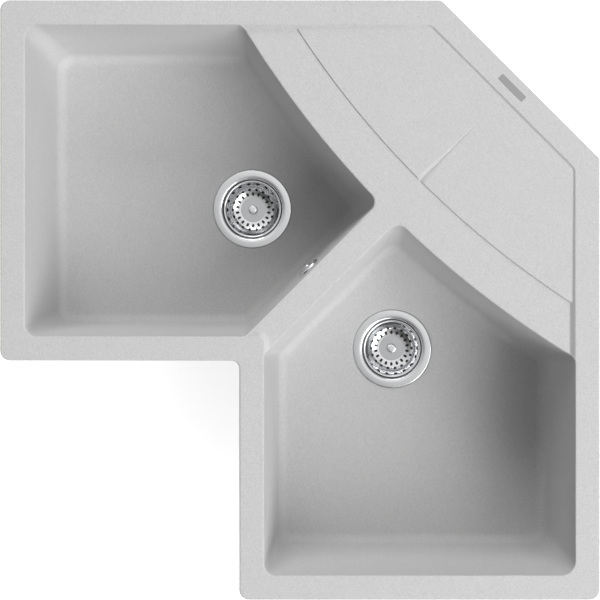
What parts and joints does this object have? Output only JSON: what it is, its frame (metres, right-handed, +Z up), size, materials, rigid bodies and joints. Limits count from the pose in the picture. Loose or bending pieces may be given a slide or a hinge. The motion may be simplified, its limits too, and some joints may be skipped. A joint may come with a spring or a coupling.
{
  "type": "corner kitchen sink",
  "caption": "Corner kitchen sink moulded in light grey composite, with angled bowls, a tap ledge, a corner drainer, basket strainer wastes, an overflow and fixing clips.",
  "frame": {"origin": "on the flat seat under the rim, in the middle of the cut-off back corner", "axes": "+Z up out of the worktop; +X and +Y along the walls, away from the inner corner where the user stands"},
  "size_m": [0.83, 0.83, 0.2935],
  "materials": {
    "composite": "fine speckled matt quartz composite, light grey",
    "badge_grey": "satin mid grey",
    "foam": "closed-cell foam",
    "polished_steel": "polished",
    "chrome": "mirror",
    "zinc_steel": "zinc plated",
    "white_plastic": "moulded",
    "grey_plastic": "moulded",
    "hose_plastic": "ribbed, flexible",
    "black_rubber": "matt"
  },
  "bodies": {
    "sink": {"sink_body": "composite", "badge_plate": "badge_grey", "sealing_tape": "foam", "waste_flange_left": "polished_steel", "flange_gasket_left": "black_rubber", "under_gasket_left": "black_rubber", "waste_body_left": "white_plastic", "clamp_screw_left": "polished_steel", "waste_flange_right": "polished_steel", "flange_gasket_right": "black_rubber", "under_gasket_right": "black_rubber", "waste_body_right": "white_plastic", "clamp_screw_right": "polished_steel", "blanking_cap": "grey_plastic", "overflow_rosette": "chrome", "rosette_screw": "chrome", "overflow_gasket": "black_rubber", "overflow_body": "white_plastic", "overflow_hose": "hose_plastic", "hose_nut_upper": "grey_plastic", "hose_nut_lower": "grey_plastic", "clip_bracket_1": "zinc_steel", "clip_bracket_2": "zinc_steel", "clip_bracket_3": "zinc_steel", "clip_bracket_4": "zinc_steel", "clip_bracket_5": "zinc_steel", "clip_bracket_6": "zinc_steel", "clip_bracket_7": "zinc_steel", "clip_bracket_8": "zinc_steel", "clip_bracket_9": "zinc_steel", "clip_screw_1": "zinc_steel", "clip_screw_2": "zinc_steel", "clip_screw_3": "zinc_steel", "clip_screw_4": "zinc_steel", "clip_screw_5": "zinc_steel", "clip_screw_6": "zinc_steel", "clip_screw_7": "zinc_steel", "clip_screw_8": "zinc_steel", "clip_screw_9": "zinc_steel"},
    "left_strainer": {"strainer_basket_left": "polished_steel", "strainer_knob_left": "chrome", "strainer_stem_left": "polished_steel", "strainer_washer_left": "polished_steel", "strainer_stopper_left": "black_rubber"},
    "right_strainer": {"strainer_basket_right": "polished_steel", "strainer_knob_right": "chrome", "strainer_stem_right": "polished_steel", "strainer_washer_right": "polished_steel", "strainer_stopper_right": "black_rubber"}
  },
  "joints": [
    {"name": "left_strainer_lift", "type": "slide", "parent": "sink", "child": "left_strainer", "axis": [0, 0, 1], "range_m": [0, 0.25]},
    {"name": "right_strainer_lift", "type": "slide", "parent": "sink", "child": "right_strainer", "axis": [0, 0, 1], "range_m": [0, 0.25]}
  ]
}
